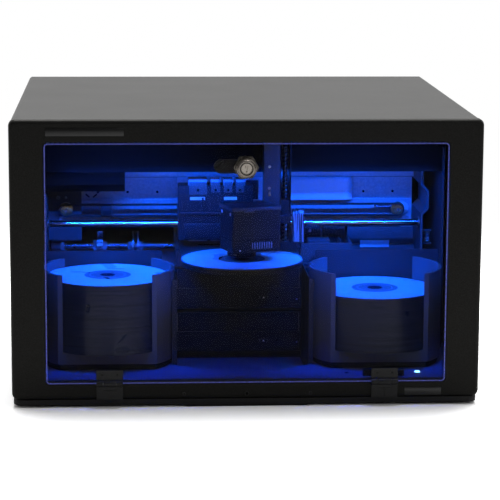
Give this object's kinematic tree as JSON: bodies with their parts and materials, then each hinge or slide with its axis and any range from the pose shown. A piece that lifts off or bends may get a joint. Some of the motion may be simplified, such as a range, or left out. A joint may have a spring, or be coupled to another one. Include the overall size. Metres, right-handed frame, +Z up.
{
  "type": "disc label printer",
  "caption": "Desktop disc label printer and duplicator: drop-down window door, two disc bins, pick arm, stacked drives and an ink-jet disc tray in a black case.",
  "frame": {"origin": "on the surface under the middle of the machine", "axes": "+X to the right seen from the front, +Y to the back, +Z up"},
  "size_m": [0.4444, 0.4406, 0.2744],
  "materials": {
    "case_black": "fine-textured satin powder coat",
    "skirt_black": "moulded, matt",
    "rubber_black": "matt",
    "smoked_acrylic": "clear smoked acrylic with polished edges",
    "hinge_black": "satin black",
    "lock_nickel": "satin nickel",
    "steel_bright": "ground",
    "rod_chrome": "polished",
    "bin_grey": "moulded, satin",
    "disc_white": "white printable face over clear polycarbonate",
    "sheet_light": "zinc-plated sheet",
    "sheet_dark": "satin black sheet",
    "drive_steel": "zinc-plated sheet",
    "drive_black": "fine-textured moulding",
    "mech_black": "moulded, satin",
    "mech_grey": "moulded, satin",
    "ink_shell": "moulded cartridge shell",
    "gear_white": "acetal",
    "belt_black": "toothed belt",
    "pulley_brass": "turned",
    "flex_white": "ribbon cable",
    "board_green": "circuit board",
    "lamp_blue": "lit blue",
    "column_aluminium": "anodised"
  },
  "bodies": {
    "root": {"base_pan": "case_black", "plinth": "skirt_black", "feet": "rubber_black", "case_cover": "case_black", "front_bezel": "case_black", "rear_panel": "case_black", "case_screws": "hinge_black", "hinge_frame_leaves": "hinge_black", "hinge_pins": "steel_bright", "deck_plate": "sheet_dark", "chute_walls": "sheet_dark", "bin_seats": "rubber_black", "left_bin": "bin_grey", "right_bin": "bin_grey", "left_disc_stack": "disc_white", "right_disc_stack": "disc_white", "inner_panels": "sheet_dark", "drive_cage": "drive_steel", "drive_bodies": "drive_steel", "drive_bezels": "drive_black", "printer_base": "sheet_dark", "printer_back_plate": "sheet_light", "end_brackets": "mech_grey", "guide_rod": "rod_chrome", "carriage_belt": "belt_black", "carriage_motor": "steel_bright", "carriage_flex": "flex_white", "service_station": "mech_grey", "bracket_spring": "steel_bright", "arm_beam": "sheet_dark", "power_supply": "sheet_dark", "control_board": "board_green", "led_strips": "lamp_blue", "door_switch": "mech_black", "fan_frame": "drive_black", "rear_sockets": "drive_black"},
    "door": {"door_panel": "smoked_acrylic", "hinge_door_leaves": "hinge_black", "lock_body": "lock_nickel"},
    "lock": {"lock_plug": "lock_nickel"},
    "upper_tray": {"upper_drive_tray": "drive_black"},
    "lower_tray": {"lower_drive_tray": "drive_black"},
    "upper_eject": {"upper_eject_button": "drive_black"},
    "lower_eject": {"lower_eject_button": "drive_black"},
    "carriage": {"carriage_body": "mech_black", "ink_cartridges": "ink_shell"},
    "idler_pulley": {"carriage_idler_pulley": "pulley_brass"},
    "drive_pulley": {"carriage_drive_pulley": "pulley_brass"},
    "feed": {"feed_shaft": "steel_bright"},
    "print_tray": {"printer_tray": "mech_black", "tray_disc": "disc_white"},
    "arm_drive": {"arm_screw": "steel_bright"},
    "arm": {"arm_carriage": "column_aluminium", "arm_flex": "flex_white"},
    "lift_drive": {"lift_screw": "steel_bright"},
    "gripper": {"gripper_head": "mech_black"},
    "finger_left": {"gripper_finger_left": "steel_bright"},
    "finger_right": {"gripper_finger_right": "steel_bright"},
    "button": {"power_button": "lamp_blue"},
    "fan": {"fan_rotor": "drive_black"}
  },
  "joints": [
    {"name": "door_hinge", "type": "hinge", "parent": "root", "child": "door", "pos_m": [0, -0.2171, 0.0239], "axis": [1, 0, 0], "range_deg": [0, 90]},
    {"name": "lock_turn", "type": "hinge", "parent": "door", "child": "lock", "pos_m": [-0.001, -0.205, 0.2286], "axis": [0, 1, 0], "range_deg": [0, 90]},
    {"name": "upper_tray_slide", "type": "slide", "parent": "root", "child": "upper_tray", "axis": [0, -1, 0], "range_m": [0, 0.12]},
    {"name": "lower_tray_slide", "type": "slide", "parent": "root", "child": "lower_tray", "axis": [0, -1, 0], "range_m": [0, 0.12]},
    {"name": "upper_eject_press", "type": "slide", "parent": "root", "child": "upper_eject", "axis": [0, 1, 0], "range_m": [0, 0.0008], "stiffness_N_per_m": 300},
    {"name": "lower_eject_press", "type": "slide", "parent": "root", "child": "lower_eject", "axis": [0, 1, 0], "range_m": [0, 0.0008], "stiffness_N_per_m": 300},
    {"name": "carriage_slide", "type": "slide", "parent": "root", "child": "carriage", "axis": [1, 0, 0], "range_m": [-0.036, 0.15]},
    {"name": "idler_pulley_turn", "type": "hinge", "parent": "root", "child": "idler_pulley", "pos_m": [-0.176, 0.007, 0.1544], "axis": [0, 1, 0], "continuous": true},
    {"name": "drive_pulley_turn", "type": "hinge", "parent": "root", "child": "drive_pulley", "pos_m": [0.17, 0.007, 0.1544], "axis": [0, 1, 0], "continuous": true},
    {"name": "print_tray_slide", "type": "slide", "parent": "root", "child": "print_tray", "axis": [0, 1, 0], "range_m": [0, 0.15]},
    {"name": "feed_shaft_turn", "type": "hinge", "parent": "root", "child": "feed", "pos_m": [0, 0.02, 0.1146], "axis": [1, 0, 0], "continuous": true},
    {"name": "arm_slide", "type": "slide", "parent": "root", "child": "arm", "axis": [1, 0, 0], "range_m": [-0.132, 0.132]},
    {"name": "arm_screw_turn", "type": "hinge", "parent": "root", "child": "arm_drive", "pos_m": [0, -0.082, 0.24], "axis": [1, 0, 0], "continuous": true},
    {"name": "lift_slide", "type": "slide", "parent": "arm", "child": "gripper", "axis": [0, 0, 1], "range_m": [0, 0.054]},
    {"name": "lift_screw_turn", "type": "hinge", "parent": "arm", "child": "lift_drive", "pos_m": [0.0443, -0.09, 0.2], "axis": [0, 0, 1], "continuous": true},
    {"name": "finger_left_spread", "type": "slide", "parent": "gripper", "child": "finger_left", "axis": [-1, 0, 0], "range_m": [0, 0.0012]},
    {"name": "finger_right_spread", "type": "slide", "parent": "gripper", "child": "finger_right", "axis": [1, 0, 0], "range_m": [0, 0.0012]},
    {"name": "power_button_press", "type": "slide", "parent": "root", "child": "button", "axis": [0, 0, -1], "range_m": [0, 0.001], "stiffness_N_per_m": 300},
    {"name": "fan_turn", "type": "hinge", "parent": "root", "child": "fan", "pos_m": [0.15, 0.205, 0.205], "axis": [0, 1, 0], "continuous": true}
  ],
  "couplings": [
    {"joint": "idler_pulley_turn", "follows": "carriage_slide", "rad_per_m": 178.57},
    {"joint": "drive_pulley_turn", "follows": "carriage_slide", "rad_per_m": 178.57},
    {"joint": "feed_shaft_turn", "follows": "print_tray_slide", "rad_per_m": -208.33},
    {"joint": "arm_screw_turn", "follows": "arm_slide", "rad_per_m": 314.16},
    {"joint": "lift_screw_turn", "follows": "lift_slide", "rad_per_m": 785.4},
    {"joint": "finger_right_spread", "follows": "finger_left_spread", "ratio": 1}
  ]
}
